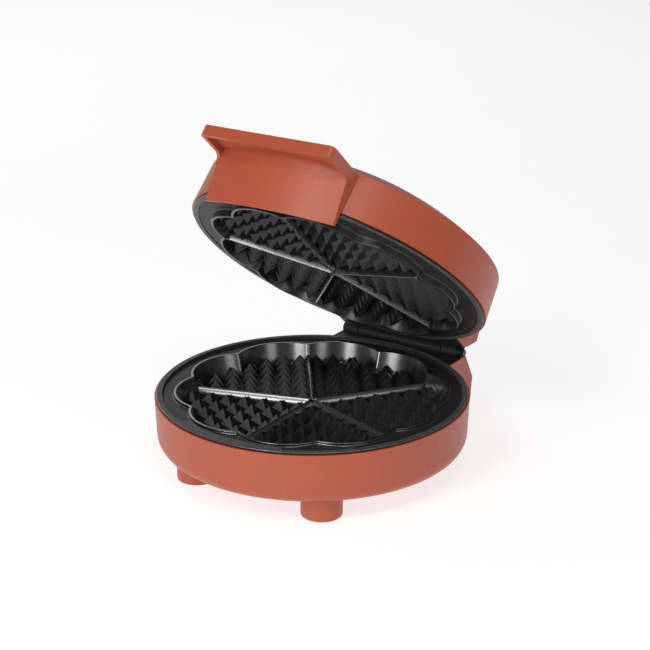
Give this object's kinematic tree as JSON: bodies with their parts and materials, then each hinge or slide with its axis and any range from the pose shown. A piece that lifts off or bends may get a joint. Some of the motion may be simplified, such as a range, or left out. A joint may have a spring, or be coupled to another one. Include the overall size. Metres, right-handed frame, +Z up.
{
  "type": "waffle maker",
  "caption": "Round heart waffle maker with a hinged domed lid, black cast baking plates, a wide flared handle and low round feet.",
  "frame": {"origin": "on the table, midway between the sides and midway between the front of the base and the back of the open lid", "axes": "+Z up, +Y towards the hinge, +X to the right when facing the hinge from the handle side"},
  "size_m": [0.21, 0.234, 0.238],
  "materials": {
    "shell_paint": "satin terracotta with a fine grain",
    "plate_coating": "semi-gloss black non-stick coating",
    "black_rubber": "matte",
    "gasket_fibre": "woven ceramic fibre",
    "ceramic_body": "matte ceramic",
    "shield_sheet": "plain sheet",
    "brass_tag": "plain",
    "brown_lead": "silicone sleeve",
    "blue_lead": "silicone sleeve",
    "green_lead": "silicone sleeve",
    "red_lens": "clear tinted",
    "green_lens": "clear tinted",
    "steel": "plated steel"
  },
  "bodies": {
    "base": {"base_shell": "shell_paint", "foot_front_left": "shell_paint", "foot_front_right": "shell_paint", "foot_back_left": "shell_paint", "foot_back_right": "shell_paint", "foot_pads": "black_rubber", "foot_screws": "steel", "base_plate_screws": "steel", "lower_plate": "plate_coating", "base_gasket": "gasket_fibre", "lower_element": "steel", "lower_element_clamps": "steel", "lower_clamp_screws": "steel", "lower_heat_shield": "shield_sheet", "lower_shield_screws": "steel", "thermostat": "ceramic_body", "thermostat_screws": "steel", "thermal_fuse": "ceramic_body", "fuse_clip": "steel", "terminal_block": "ceramic_body", "live_wire": "brown_lead", "neutral_wire": "blue_lead", "earth_wire": "green_lead", "earth_tag": "brass_tag", "cord_gland": "black_rubber", "cord_gland_nut": "steel", "hinge_pin": "steel", "hinge_cap": "plate_coating"},
    "lid": {"lid_shell": "shell_paint", "upper_plate": "plate_coating", "lid_gasket": "gasket_fibre", "upper_element": "steel", "upper_element_clamps": "steel", "upper_clamp_screws": "steel", "upper_heat_shield": "shield_sheet", "upper_shield_screws": "steel", "lid_plate_screws": "steel", "lid_terminal_block": "ceramic_body", "lid_wires": "brown_lead", "handle": "shell_paint", "handle_screws": "steel", "power_lamp_lens": "red_lens", "ready_lamp_lens": "green_lens", "lamp_holder": "ceramic_body", "lamp_holder_screw": "steel"}
  },
  "joints": [
    {"name": "lid_hinge", "type": "hinge", "parent": "base", "child": "lid", "pos_m": [0, 0.1011, 0.05375], "axis": [-1, 0, 0], "range_deg": [-42.3, 52.7]}
  ]
}
